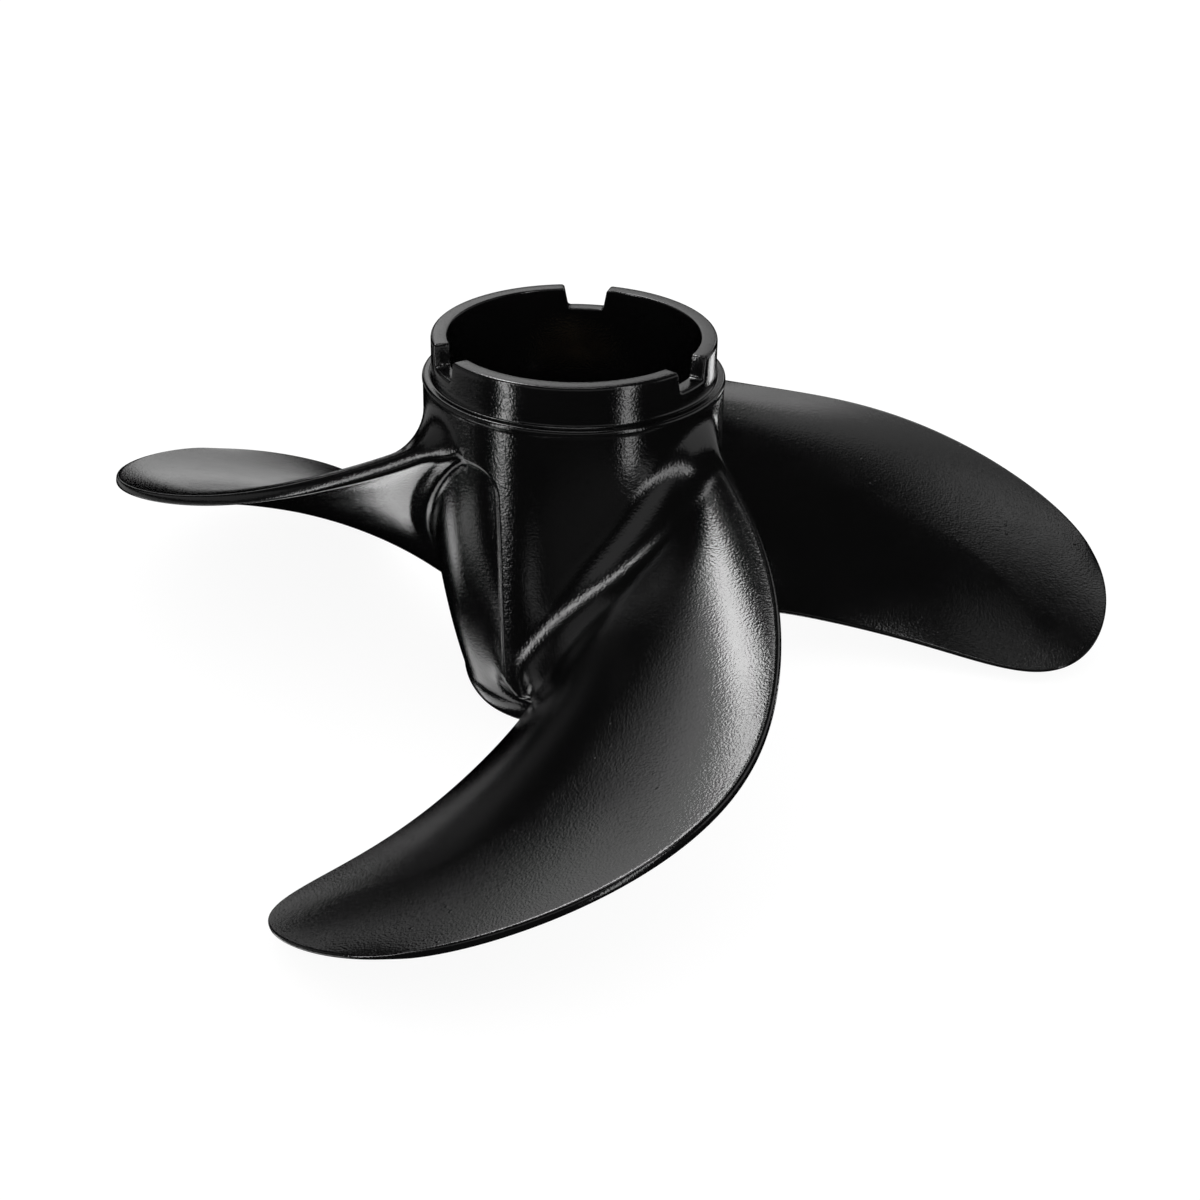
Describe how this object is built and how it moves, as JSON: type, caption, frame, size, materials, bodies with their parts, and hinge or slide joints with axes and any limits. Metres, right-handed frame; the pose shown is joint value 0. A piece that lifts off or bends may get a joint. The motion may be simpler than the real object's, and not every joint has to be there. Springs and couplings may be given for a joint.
{
  "type": "outboard boat propeller",
  "caption": "Right-hand screw propeller for a small outboard motor, with skewed blades on a hollow tapered hub with a notched forward rim.",
  "frame": {"origin": "on the shaft axis at the centre of mass", "axes": "+Z along the shaft axis towards the notched forward rim, +Y through the middle of one rim notch"},
  "size_m": [0.2136, 0.202, 0.0756],
  "materials": {
    "gloss_black_paint": "gloss black paint on cast aluminium",
    "black_rubber": "matt moulded rubber",
    "machined_bronze": "turned and broached bronze"
  },
  "bodies": {
    "root": {"propeller_casting": "gloss_black_paint", "rubber_bushing": "black_rubber", "splined_sleeve": "machined_bronze"}
  },
  "joints": []
}
